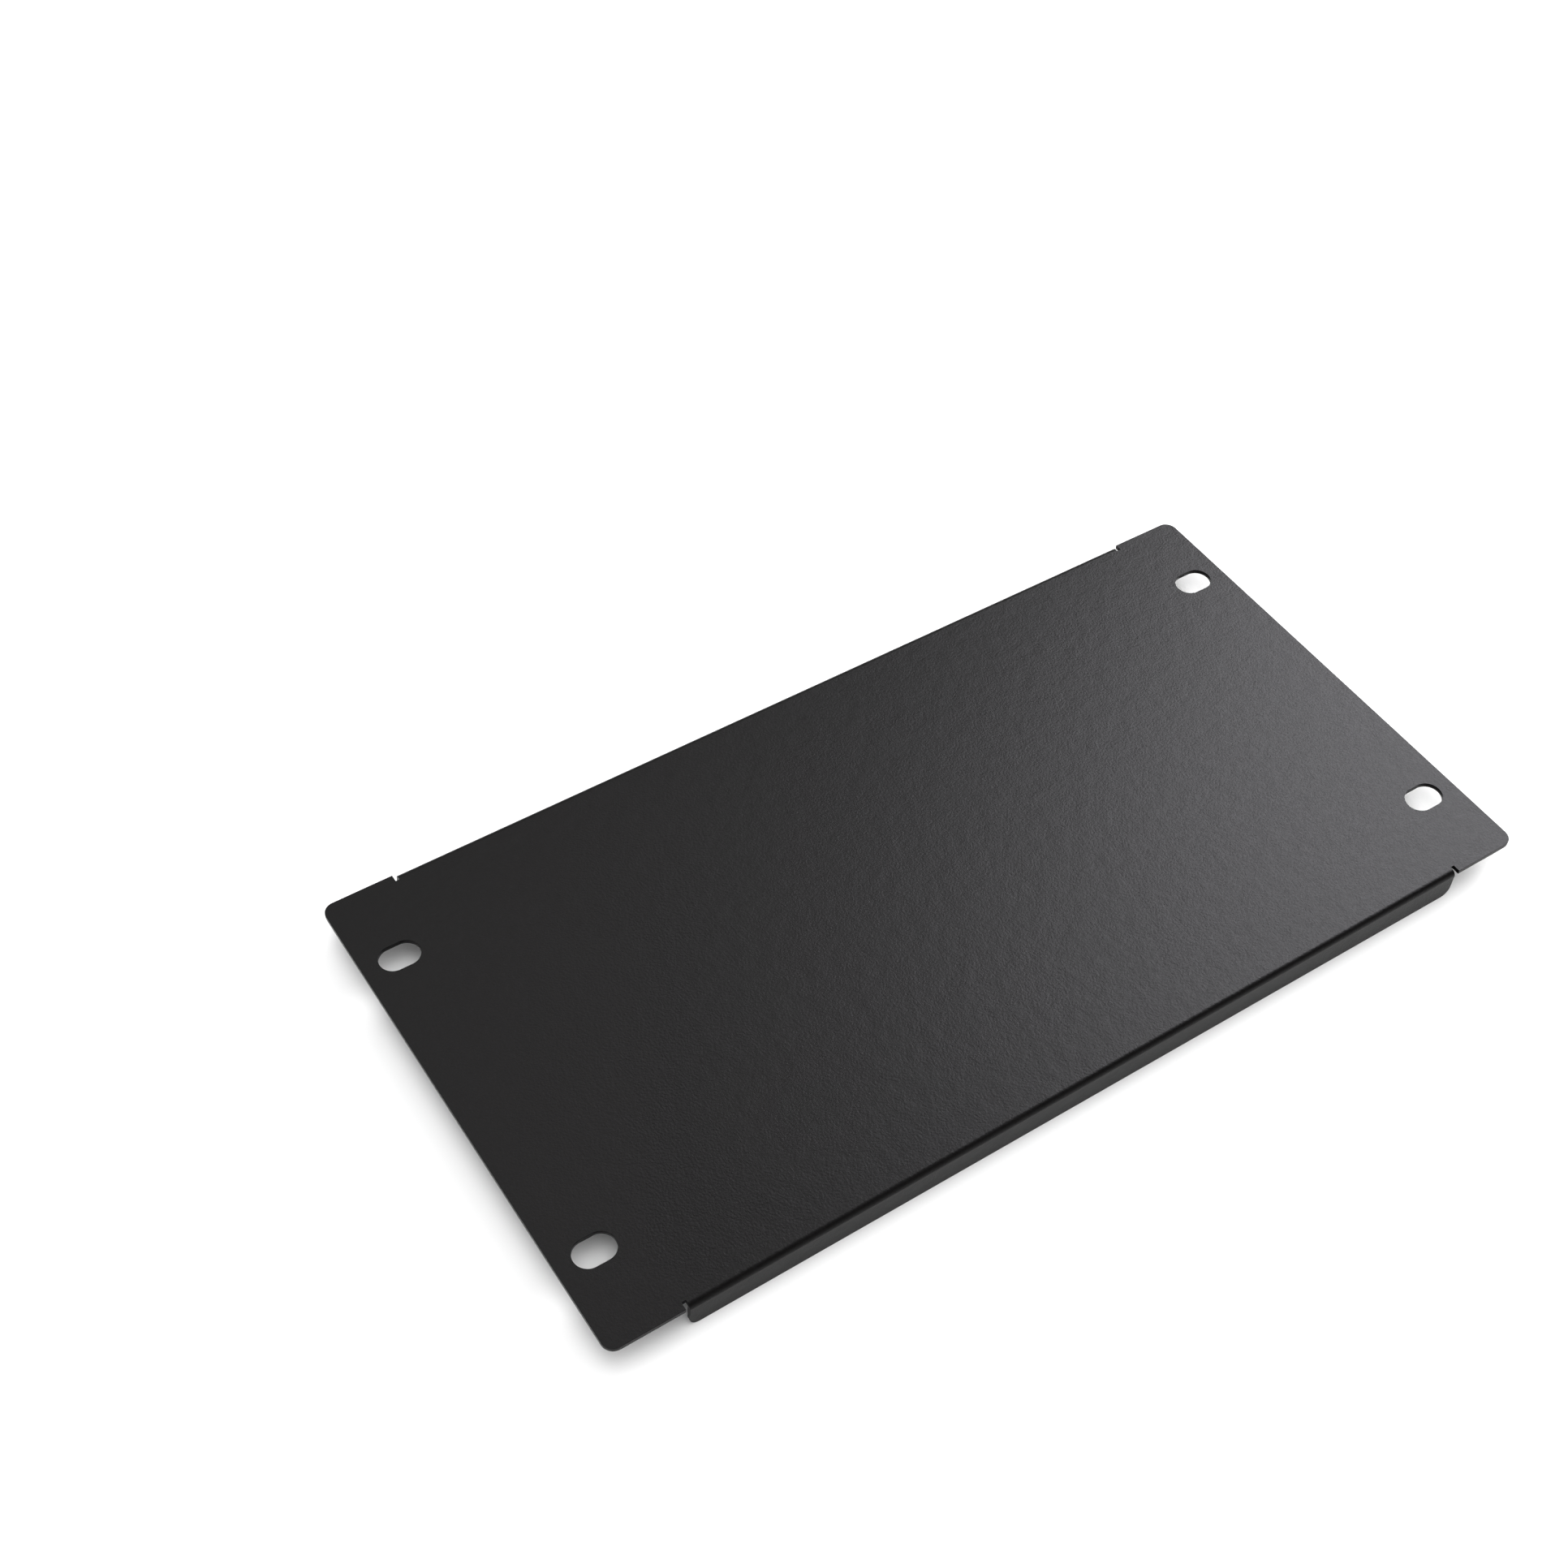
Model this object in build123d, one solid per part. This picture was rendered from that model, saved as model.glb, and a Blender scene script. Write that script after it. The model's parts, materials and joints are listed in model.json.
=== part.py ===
from build123d import *

import os

# Rack blanking panel, three rack units high, for a ten-inch rack. One steel sheet is cut to an
# outline with an ear at each end, its two long edges are folded back into stiffening flanges, and
# a short relief cut beside each end of a fold lets the flange fold while the ear stays flat.
#
# The frame: the origin is the middle of the four slots, on the rear face of the ears, which is
# the face that meets the rack rails. +X runs along the panel, +Y up the rack, and +Z points out
# of the front face. All sizes are in millimetres.

# Driving dimensions
rack_unit = 44.45  # the height of one unit on the rack's rails
units_tall = 3
panel_gap = 0.85  # kept free between this panel and the next one up the rack
panel_length = 255.4  # over the two ears
sheet = 1.2  # thickness of the steel

ear_length = 18.5  # along X, from the panel's end to the relief cut
ear_corner_radius = 3.0

flange_depth = 8.2  # from the front face to the flange's free edge
flange_corner_radius = 2.5
inner_bend_radius = 0.3

relief_width = 1.0  # along the fold, between the ear and the flange's end
relief_margin = 0.4  # how far the cut reaches past the start of the bend

slot_inset = 9.45  # from the panel's end to a slot's middle, to meet the rack's hole spacing
slot_length = 10.2  # end to end, along X
slot_width = 7.2

# Sizes that follow from them
panel_height = units_tall * rack_unit - panel_gap
slot_pitch_x = panel_length - 2 * slot_inset
slot_pitch_y = (units_tall - 1) * rack_unit  # from the lowest unit's middle hole to the highest's
ear_inner_x = panel_length / 2 - ear_length
flange_length = 2 * (ear_inner_x - relief_width)  # along the fold, between the relief cuts
flange_edge_z = sheet - flange_depth
outer_bend_radius = inner_bend_radius + sheet
relief_depth = outer_bend_radius + relief_margin  # in from the ear's edge
web_height = panel_height - 2 * relief_depth  # the flat face between the relief cuts


def flat_blank():
    """The flat face with its two ears, up to the bottoms of the relief cuts, and its slots."""
    with BuildPart() as blank:
        with BuildSketch():
            with BuildSketch(mode=Mode.PRIVATE) as ears:
                RectangleRounded(panel_length, panel_height, ear_corner_radius)
                Rectangle(2 * ear_inner_x, panel_height, mode=Mode.SUBTRACT)
            add(ears.sketch)
            Rectangle(2 * ear_inner_x, web_height)
            with GridLocations(slot_pitch_x, slot_pitch_y, 2, 2):
                SlotOverall(slot_length, slot_width, mode=Mode.SUBTRACT)
        extrude(amount=sheet)
    return blank.part


def folded_channel():
    """The face between the relief cuts and both flanges, as one bent strip of the same sheet."""
    with BuildPart() as channel:
        with BuildSketch(Plane.YZ.offset(-flange_length / 2)) as section:
            with BuildLine():
                outer = FilletPolyline(
                    (-panel_height / 2, flange_edge_z),
                    (-panel_height / 2, sheet),
                    (panel_height / 2, sheet),
                    (panel_height / 2, flange_edge_z),
                    radius=outer_bend_radius,
                )
                inner = FilletPolyline(
                    (-panel_height / 2 + sheet, flange_edge_z),
                    (-panel_height / 2 + sheet, 0),
                    (panel_height / 2 - sheet, 0),
                    (panel_height / 2 - sheet, flange_edge_z),
                    radius=inner_bend_radius,
                )
                Line(outer @ 0, inner @ 0)
                Line(outer @ 1, inner @ 1)
            make_face()
        extrude(amount=flange_length)
        free_corners = [
            edge
            for edge in channel.edges().filter_by(Axis.Y)
            if abs(edge.center().Z - flange_edge_z) < sheet / 2
            and abs(abs(edge.center().X) - flange_length / 2) < sheet / 2
            and edge.length < 2 * sheet
        ]
        fillet(free_corners, flange_corner_radius)
    return channel.part


def blanking_panel():
    """The whole panel: the flat blank and the folded channel are the same piece of sheet."""
    panel = flat_blank() + folded_channel()
    panel.label = "blanking_panel"
    return panel


os.makedirs("parts", exist_ok=True)
export_step(blanking_panel(), "parts/blanking_panel.step")
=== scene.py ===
# %% [markdown]
# # A folded steel blanking panel
#
# A blanking panel closes an empty place in an equipment rack. It is one sheet of steel: cut to an
# outline with a slotted ear at each end, folded back along both long edges, and powder coated
# black. It lies face up on the free edges of its two folds. This lesson takes its frame from the
# solid model, then models the coated sheet, makes its finish, and lights it on a white floor.

# %% Load the frame
import json
import math

import bmesh
import bpy
from mathutils import Matrix, Vector


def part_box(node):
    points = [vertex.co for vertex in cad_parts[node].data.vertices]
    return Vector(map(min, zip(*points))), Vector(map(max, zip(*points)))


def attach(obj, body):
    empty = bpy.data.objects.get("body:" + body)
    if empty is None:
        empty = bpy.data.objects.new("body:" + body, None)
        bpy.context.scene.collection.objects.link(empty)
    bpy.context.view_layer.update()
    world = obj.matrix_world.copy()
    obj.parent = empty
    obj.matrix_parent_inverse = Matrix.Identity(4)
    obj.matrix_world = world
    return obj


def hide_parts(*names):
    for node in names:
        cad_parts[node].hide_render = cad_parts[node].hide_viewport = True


MM = 0.001


def in_mm(point):
    """A point in millimetres, rounded for printing."""
    return [round(value / MM, 2) for value in point]


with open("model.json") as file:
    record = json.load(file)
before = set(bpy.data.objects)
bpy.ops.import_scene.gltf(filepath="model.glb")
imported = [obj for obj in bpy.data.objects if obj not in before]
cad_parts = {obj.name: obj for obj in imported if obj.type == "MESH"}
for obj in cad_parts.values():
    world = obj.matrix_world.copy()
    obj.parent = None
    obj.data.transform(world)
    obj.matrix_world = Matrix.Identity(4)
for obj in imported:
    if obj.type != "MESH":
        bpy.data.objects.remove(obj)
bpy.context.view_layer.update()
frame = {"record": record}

# %% [markdown]
# ## The sizes
#
# The overall sizes and the slot spacing are read from the frame, so the dressed panel can't drift
# away from the solid one. The sheet's own sizes, such as its thickness and the radius of its fold,
# are named here once, in millimetres, as a sheet-metal drawing would list them.

# %% Sizes from the frame and from the drawing
low, high = (Vector(corner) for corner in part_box("blanking_panel"))
slots = next(mount for mount in frame["record"]["mounts"] if mount["name"] == "rack_slots")["dims"]

HALF_LENGTH = high.x
HALF_HEIGHT = high.y
FACE_Z = high.z
FLANGE_EDGE_Z = low.z

SHEET = 1.2 * MM
OUTER_BEND_RADIUS = 1.5 * MM
HALF_FLANGE = 108.2 * MM
FLANGE_CORNER_RADIUS = 2.5 * MM
EAR_CORNER_RADIUS = 3.0 * MM
RELIEF_WIDTH = 1.0 * MM
RELIEF_DEPTH = 1.9 * MM
COAT_EDGE_RADIUS = 0.06 * MM

SLOT_CENTRE = Vector((slots["spacing_x_mm"] / 2 * MM, slots["spacing_y_mm"] / 2 * MM, FACE_Z))
SLOT_RADIUS = slots["hole_r_mm"] * MM
SLOT_HALF_STRAIGHT = slots["slot_length_mm"] / 2 * MM - SLOT_RADIUS

BEND_Y = HALF_HEIGHT - OUTER_BEND_RADIUS
RELIEF_Y = HALF_HEIGHT - RELIEF_DEPTH
EAR_INNER_X = HALF_FLANGE + RELIEF_WIDTH
print("slot centre, mm:", in_mm(SLOT_CENTRE))

# %% [markdown]
# ## Cutting the outline
#
# The panel is the same left to right and top to bottom, so only one quarter of the front surface is
# modelled. It starts as one square face, stretched to a quarter of the panel. Cuts along straight
# lines divide it as a punch would, the waste is deleted, and the ear's corner is rounded by
# bevelling its one vertex. A surface with no thickness is easy to cut: the steel comes later.

# %% A quarter of the front surface, cut to its outline
CUT_TOLERANCE = 1e-7  # in metres
SAME_PLACE = 1e-6  # in metres: vertices closer than this are one vertex
FLAT_ANGLE = math.radians(1)  # faces that meet at less than this lie in one plane
CORNER_SEGMENTS = 12


def everything(bm):
    """All vertices, edges and faces in one list, as the operators take them."""
    return bm.verts[:] + bm.edges[:] + bm.faces[:]


def cut_line(bm, point, normal):
    """Divide every face that the line through point crosses."""
    bmesh.ops.bisect_plane(
        bm, geom=everything(bm), dist=CUT_TOLERANCE, plane_co=point, plane_no=normal
    )


def delete_waste(bm, is_waste):
    """Remove the faces whose middle lies in the waste, with the edges that only they used."""
    waste = [face for face in bm.faces if is_waste(face.calc_center_median())]
    bmesh.ops.delete(bm, geom=waste, context="FACES")


def vertex_near(bm, point):
    return min(bm.verts, key=lambda vert: (vert.co - Vector(point)).length)


def round_corner(bm, point, radius):
    """Round a square corner of the surface to an arc of this radius."""
    corner = vertex_near(bm, point)
    bmesh.ops.bevel(
        bm,
        geom=[corner],
        offset=radius,
        offset_type="OFFSET",
        segments=CORNER_SEGMENTS,
        profile=0.5,
        affect="VERTICES",
        material=-1,
    )


def merge_flat_faces(bm):
    bmesh.ops.dissolve_limit(bm, angle_limit=FLAT_ANGLE, verts=bm.verts, edges=bm.edges)


def cut_outline(bm):
    """A quarter of the front surface, without the relief cut's waste, its ear corner rounded."""
    # The grid's size is half its side, so this square is one unit wide before it is scaled.
    bmesh.ops.create_grid(bm, x_segments=1, y_segments=1, size=0.5)
    bmesh.ops.scale(bm, vec=(HALF_LENGTH, HALF_HEIGHT, 1), verts=bm.verts)
    bmesh.ops.translate(bm, vec=(HALF_LENGTH / 2, HALF_HEIGHT / 2, FACE_Z), verts=bm.verts)
    for x in (HALF_FLANGE, EAR_INNER_X):
        cut_line(bm, (x, 0, 0), (1, 0, 0))
    for y in (RELIEF_Y, BEND_Y):
        cut_line(bm, (0, y, 0), (0, 1, 0))
    delete_waste(bm, lambda middle: middle.x < EAR_INNER_X and middle.y > BEND_Y)
    delete_waste(bm, lambda middle: HALF_FLANGE < middle.x < EAR_INNER_X and middle.y > RELIEF_Y)
    merge_flat_faces(bm)
    round_corner(bm, (HALF_LENGTH, HALF_HEIGHT, FACE_Z), EAR_CORNER_RADIUS)


surface = bmesh.new()
cut_outline(surface)
print("outline:", len(surface.faces), "faces")

# %% [markdown]
# ## Punching the slot
#
# A slot is a circle pulled apart along X. A ring of faces has to join it to the sheet, so the
# sheet gets a small rectangular window first, and the gap between the window and the slot's loop
# is filled with flat faces.

# %% The slot in the ear
WINDOW_MARGIN = 1.6 * MM
SLOT_SEGMENTS = 64


def slot_loop(bm):
    """A circle with a vertex half a step from each quarter, its halves moved apart along X."""
    half_step = Matrix.Rotation(math.pi / SLOT_SEGMENTS, 4, "Z")
    place = Matrix.Translation(SLOT_CENTRE) @ half_step
    made = bmesh.ops.create_circle(bm, segments=SLOT_SEGMENTS, radius=SLOT_RADIUS, matrix=place)
    for side in (-1, 1):
        half = [vert for vert in made["verts"] if (vert.co.x - SLOT_CENTRE.x) * side > 0]
        bmesh.ops.translate(bm, vec=(side * SLOT_HALF_STRAIGHT, 0, 0), verts=half)
    # A dict drops the doubles and, unlike a set, keeps the order.
    return list(dict.fromkeys(edge for vert in made["verts"] for edge in vert.link_edges))


def punch_slot(bm):
    """Cut a window in the ear and fill the gap between the window and the slot."""
    half_x = SLOT_HALF_STRAIGHT + SLOT_RADIUS + WINDOW_MARGIN
    half_y = SLOT_RADIUS + WINDOW_MARGIN
    for side in (-1, 1):
        cut_line(bm, SLOT_CENTRE + Vector((side * half_x, 0, 0)), (1, 0, 0))
        cut_line(bm, SLOT_CENTRE + Vector((0, side * half_y, 0)), (0, 1, 0))
    window = min(bm.faces, key=lambda face: (face.calc_center_median() - SLOT_CENTRE).length)
    rim = list(window.edges)
    bmesh.ops.delete(bm, geom=[window], context="FACES_ONLY")
    bmesh.ops.triangle_fill(bm, edges=rim + slot_loop(bm), use_beauty=True, normal=(0, 0, 1))


punch_slot(surface)
print("with its slot:", len(surface.faces), "faces")

# %% [markdown]
# ## Folding the flange
#
# A press brake turns the sheet about a line just inside its edge. Spin does the same: it carries
# the straight edge round a quarter turn about the fold's centre, and one more extrusion drops it
# to the flange's free edge. The two relief cuts leave this stretch free of the ear.

# %% The bend and the flange
BEND_STEPS = 10


def on_fold_line(point):
    """Whether a point lies on the line where the flat face ends and the bend begins."""
    return abs(point.y - BEND_Y) < SAME_PLACE and point.x < HALF_FLANGE + SAME_PLACE


def fold_flange(bm):
    """Carry the long edge round the bend and down to the flange's free edge."""
    bend_centre_z = FACE_Z - OUTER_BEND_RADIUS
    fold = [edge for edge in bm.edges if all(on_fold_line(vert.co) for vert in edge.verts)]
    turned = bmesh.ops.spin(
        bm,
        geom=fold,
        cent=(0, BEND_Y, bend_centre_z),
        axis=(1, 0, 0),
        angle=-math.pi / 2,
        steps=BEND_STEPS,
        use_duplicate=False,
    )
    last = [item for item in turned["geom_last"] if isinstance(item, bmesh.types.BMEdge)]
    dropped = bmesh.ops.extrude_edge_only(bm, edges=last)
    verts = [item for item in dropped["geom"] if isinstance(item, bmesh.types.BMVert)]
    bmesh.ops.translate(bm, vec=(0, 0, FLANGE_EDGE_Z - bend_centre_z), verts=verts)
    round_corner(bm, (HALF_FLANGE, HALF_HEIGHT, FLANGE_EDGE_Z), FLANGE_CORNER_RADIUS)


fold_flange(surface)
print("with its flange:", len(surface.faces), "faces")

# %% [markdown]
# ## From a quarter to a sheet of steel
#
# Two mirrors complete the surface, and flat faces that share a plane are merged. Only then does
# the sheet get its thickness, from the front surface inwards, so the outside stays at the size
# that was drawn, and the inside of the fold follows by itself. The solidify operator numbers its
# edges and faces differently in each run, and the bevel passes that on to the finished mesh. So
# they are sorted by their vertices, and each edge is made to start at the lower-numbered one.

# %% Mirror, merge and give the sheet its thickness
def mirror_whole(bm, axis):
    """Add the mirror image across the plane that this axis crosses, joined along that plane."""
    bmesh.ops.mirror(bm, geom=everything(bm), axis=axis, merge_dist=SAME_PLACE)
    bmesh.ops.remove_doubles(bm, verts=bm.verts, dist=SAME_PLACE)


def thicken(bm):
    """Turn the surface to face outwards, and give it the steel's thickness on the inside."""
    bmesh.ops.recalc_face_normals(bm, faces=bm.faces)
    widest = max(bm.faces, key=lambda face: face.calc_area())
    if widest.normal.z < 0:
        bmesh.ops.reverse_faces(bm, faces=bm.faces)
    merge_flat_faces(bm)
    bmesh.ops.solidify(bm, geom=bm.faces[:], thickness=SHEET)
    bmesh.ops.recalc_face_normals(bm, faces=bm.faces)


def settle_order(bm):
    """Solidify leaves its edges and faces in a chance order, so they are sorted by vertices."""
    bm.verts.index_update()
    for elements in (bm.edges, bm.faces):
        ranked = sorted(elements, key=lambda element: sorted(vert.index for vert in element.verts))
        rank = {element: place for place, element in enumerate(ranked)}
        elements.sort(key=rank.get)


def add_object(name, data):
    """An object in the scene for a mesh, a camera or a light."""
    made = bpy.data.objects.new(name, data)
    bpy.context.scene.collection.objects.link(made)
    return made


mirror_whole(surface, "X")
mirror_whole(surface, "Y")
thicken(surface)
settle_order(surface)
panel_mesh = bpy.data.meshes.new("coated_panel")
surface.to_mesh(panel_mesh)
surface.free()
for edge in panel_mesh.edges:
    edge.vertices = sorted(edge.vertices)
for polygon in panel_mesh.polygons:
    polygon.use_smooth = True
panel = add_object("coated_panel", panel_mesh)
print("sheet, mm:", in_mm(panel.bound_box[0]), "to", in_mm(panel.bound_box[6]))

# %% [markdown]
# ## The coat's soft edges
#
# Powder melts and flows before it hardens, and pulls back from a sharp edge, so every cut edge of
# the sheet ends in a small round. A bevel on the sharp edges makes it. Weighted normals then keep
# the wide faces optically flat: without them the shading of the rounds would spread over the face.

# %% Soft edges, flat faces
SHARP_ANGLE = math.radians(40)

soften = panel.modifiers.new("coat edge", "BEVEL")
soften.width = COAT_EDGE_RADIUS
soften.segments = 2
soften.limit_method = "ANGLE"
soften.angle_limit = SHARP_ANGLE
soften.use_clamp_overlap = True
flatten = panel.modifiers.new("flat faces", "WEIGHTED_NORMAL")
flatten.mode = "FACE_AREA"
flatten.weight = 100
flatten.keep_sharp = False

# %% [markdown]
# ## The powder coat
#
# The finish is a fine-textured powder coat, sprayed on as dust and baked. The resin is a
# dielectric, so its gloss comes from an IOR of about 1.5 and not from metal. The pigment is black,
# and most of what reaches the eye is the gloss itself. Two layers of noise shape it: a fine grain
# that spreads it wide, and the orange peel of melted powder, about eight times wider. The specular
# level of 0.10 isn't a measured value: it was matched to the picture together with the lights.

# %% Helpers for materials
def linear(hex_colour):
    """An sRGB hex colour, such as #0c0c0d, as the linear RGBA that the shaders want."""
    channels = [int(hex_colour[i : i + 2], 16) / 255 for i in (1, 3, 5)]
    curve = [c / 12.92 if c <= 0.04045 else ((c + 0.055) / 1.055) ** 2.4 for c in channels]
    return (*curve, 1.0)


def add_node(tree, kind, settings=None, links=None):
    """Add a node, set its properties and inputs by name, and link inputs from other sockets."""
    node = tree.nodes.new(kind)
    for name, value in (settings or {}).items():
        if name in node.inputs:
            node.inputs[name].default_value = value
        else:
            setattr(node, name, value)
    for name, source in (links or {}).items():
        tree.links.new(source, node.inputs[name])
    return node


def blank_material(name):
    material = bpy.data.materials.new(name)
    material.use_nodes = True
    material.node_tree.nodes.clear()
    return material


# %% The fine-textured black powder coat
BLACK_PIGMENT = "#0b0a0a"
RESIN_IOR = 1.5
SPECULAR_LEVEL = 0.10
GRAIN = 0.48 * MM  # really about 0.3 mm, too fine to show in the render, so drawn coarser
GRAIN_DEPTH = 0.045 * MM
ORANGE_PEEL = 4.0 * MM
ORANGE_PEEL_DEPTH = 0.06 * MM
NOISE_LOW, NOISE_HIGH = 0.3, 0.7  # most of the noise lies between these two
SMOOTHEST, ROUGHEST = 0.30, 0.38


def powder_coat():
    """Two layers of noise tilt the surface, and the finer one also varies how smooth it is."""
    material = blank_material("black powder coat, fine texture")
    tree = material.node_tree
    place = add_node(tree, "ShaderNodeTexCoord").outputs["Object"]
    grain, peel = (
        add_node(
            tree,
            "ShaderNodeTexNoise",
            {"Scale": 1 / width, "Detail": 1.0, "Roughness": 0.5},
            {"Vector": place},
        )
        for width in (GRAIN, ORANGE_PEEL)
    )
    wavy = add_node(
        tree,
        "ShaderNodeBump",
        {"Strength": 1.0, "Distance": ORANGE_PEEL_DEPTH},
        {"Height": peel.outputs["Fac"]},
    )
    rough = add_node(
        tree,
        "ShaderNodeBump",
        {"Strength": 1.0, "Distance": GRAIN_DEPTH},
        {"Height": grain.outputs["Fac"], "Normal": wavy.outputs["Normal"]},
    )
    shine = add_node(
        tree,
        "ShaderNodeMapRange",
        {
            "From Min": NOISE_LOW,
            "From Max": NOISE_HIGH,
            "To Min": SMOOTHEST,
            "To Max": ROUGHEST,
        },
        {"Value": grain.outputs["Fac"]},
    )
    coat = add_node(
        tree,
        "ShaderNodeBsdfPrincipled",
        {
            "Base Color": linear(BLACK_PIGMENT),
            "IOR": RESIN_IOR,
            "Specular IOR Level": SPECULAR_LEVEL,
        },
        {"Roughness": shine.outputs["Result"], "Normal": rough.outputs["Normal"]},
    )
    add_node(tree, "ShaderNodeOutputMaterial", links={"Surface": coat.outputs["BSDF"]})
    return material


panel_mesh.materials.append(powder_coat())
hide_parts("blanking_panel")
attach(panel, "root")

# %% [markdown]
# ## The floor
#
# The panel lies on a plain white surface, lit until it is almost pure white. Only its shadow shows
# where the floor is.

# %% A plain pale floor under the folds
FLOOR_HALF_SIZE = 2500 * MM


def pale_floor():
    """A plain square of white paper, as high as the flanges' free edges."""
    bm = bmesh.new()
    bmesh.ops.create_grid(bm, x_segments=1, y_segments=1, size=FLOOR_HALF_SIZE)
    bmesh.ops.translate(bm, vec=(0, 0, FLANGE_EDGE_Z), verts=bm.verts)
    mesh = bpy.data.meshes.new("floor")
    bm.to_mesh(mesh)
    bm.free()
    material = blank_material("matt white paper")
    tree = material.node_tree
    paper = add_node(tree, "ShaderNodeBsdfDiffuse", {"Color": linear("#f4f4f4")})
    add_node(tree, "ShaderNodeOutputMaterial", links={"Surface": paper.outputs["BSDF"]})
    mesh.materials.append(material)
    return add_object("floor", mesh)


floor = pale_floor()

# %% [markdown]
# ## The camera
#
# The view looks down on the face from the front left, at about 49 degrees. The lens, the distance
# and the small roll were worked out from where the panel's straight edges meet and how far its
# slots lie apart in the picture.

# %% The camera at the picture's viewing angle
IMAGE_SIZE = 1932
FOCAL_PIXELS = 2773.0
SENSOR_WIDTH = 36.0
AIM = Vector((-14.8 * MM, 41.8 * MM, FACE_Z))
DISTANCE = 553.0 * MM
AZIMUTH = math.radians(-35.47)
ELEVATION = math.radians(49.37)
ROLL = math.radians(3.07)


def place_camera():
    """A camera that looks at AIM from DISTANCE away, rolled a little about its line of sight."""
    data = bpy.data.cameras.new("camera")
    data.sensor_width = SENSOR_WIDTH
    data.lens = SENSOR_WIDTH * FOCAL_PIXELS / IMAGE_SIZE
    data.clip_start = 10 * MM
    camera = add_object("camera", data)
    level = Vector((math.sin(AZIMUTH), -math.cos(AZIMUTH), 0)) * math.cos(ELEVATION)
    backwards = level + Vector((0, 0, math.sin(ELEVATION)))
    turn = backwards.to_track_quat("Z", "Y").to_matrix().to_4x4()
    roll = Matrix.Rotation(ROLL, 4, "Z")
    camera.matrix_world = Matrix.Translation(AIM + DISTANCE * backwards) @ turn @ roll
    bpy.context.scene.camera = camera
    return camera


camera = place_camera()
print("camera at, mm:", in_mm(camera.matrix_world.translation))

# %% [markdown]
# ## The light
#
# A black gloss shows the room and hardly itself, so it gets a room of its own. The soft boxes show
# only in the gloss: two large ones on the right draw the sheen that grows towards that end of the
# face, and a dim wall at the back lifts the rest. Above and in front of the near fold it stays
# dark, which draws the dark line along that fold. The last five boxes change this view only a
# little. They keep the face from going flat black when it is seen from other sides.

# %% A soft box
POWER_PER_RADIANCE = 4.0  # watts that each square metre of a lamp needs for a radiance of 1


def soft_box(name, towards, distance, size, radiance, colour="#ffffff", in_gloss=True):
    """An area light that faces the panel and shows in the gloss only, or everywhere else only."""
    data = bpy.data.lights.new(name, "AREA")
    data.shape = "RECTANGLE"
    data.size, data.size_y = size
    data.energy = POWER_PER_RADIANCE * radiance * size[0] * size[1]
    data.color = linear(colour)[:3]
    lamp = add_object(name, data)
    lamp.visible_diffuse, lamp.visible_glossy = not in_gloss, in_gloss
    place = Vector(towards).normalized() * distance
    turn = place.to_track_quat("Z", "Y").to_matrix().to_4x4()
    lamp.matrix_world = Matrix.Translation(place) @ turn
    return lamp


# %% The boxes that the gloss shows
COOL_WHITE = "#faf9ff"
soft_box("key", (0.795, 0.323, 0.514), 1.2, (0.57, 1.43), 7.2, COOL_WHITE)
soft_box("upper right", (0.716, 0.122, 0.687), 1.25, (0.94, 0.65), 4.3, COOL_WHITE)
soft_box("back wall", (0.1, 0.556, 0.825), 1.5, (2.9, 0.76), 1.6)
soft_box("left wall", (-0.76, -0.28, 0.60), 1.3, (2.4, 0.9), 1.8)
soft_box("overhead", (-0.32, 0.16, 0.94), 1.2, (0.6, 0.9), 2.8)
for name, towards in (
    ("low front wall", (0.1, -0.96, 0.26)),
    ("low left wall", (-0.96, 0.0, 0.26)),
    ("low back wall", (0.0, 0.96, 0.26)),
):
    soft_box(name, towards, 1.5, (2.6, 0.5), 0.6)

# %% [markdown]
# ## The white tent
#
# The matt surfaces are lit by an even white tent and two soft fills. They make the floor nearly
# pure white, with soft shadows close to the sheet. The fill on the right lights the floor that
# shows through the right slots, and the one overhead shines almost straight down through every
# slot. None of the three shows in the gloss, where it would wash out the sheen and the dark line.

# %% The fills and the tent
soft_box("side fill", (0.83, 0.33, 0.46), 1.2, (0.8, 0.8), 6.0, in_gloss=False)
soft_box("top fill", (-0.12, -0.12, 0.98), 1.2, (0.8, 0.8), 1.85, in_gloss=False)
TENT_STRENGTH = 1.03


def white_tent():
    """Even white light from all sides, which the gloss doesn't show."""
    world = bpy.data.worlds.new("white tent")
    world.use_nodes = True
    tree = world.node_tree
    tree.nodes.clear()
    settings = {"Color": linear("#ffffff"), "Strength": TENT_STRENGTH}
    air = add_node(tree, "ShaderNodeBackground", settings)
    add_node(tree, "ShaderNodeOutputWorld", links={"Surface": air.outputs["Background"]})
    world.cycles_visibility.glossy = False
    bpy.context.scene.world = world


white_tent()
bpy.context.scene.view_settings.view_transform = "Standard"
print("lights:", sorted(lamp.name for lamp in bpy.data.lights))
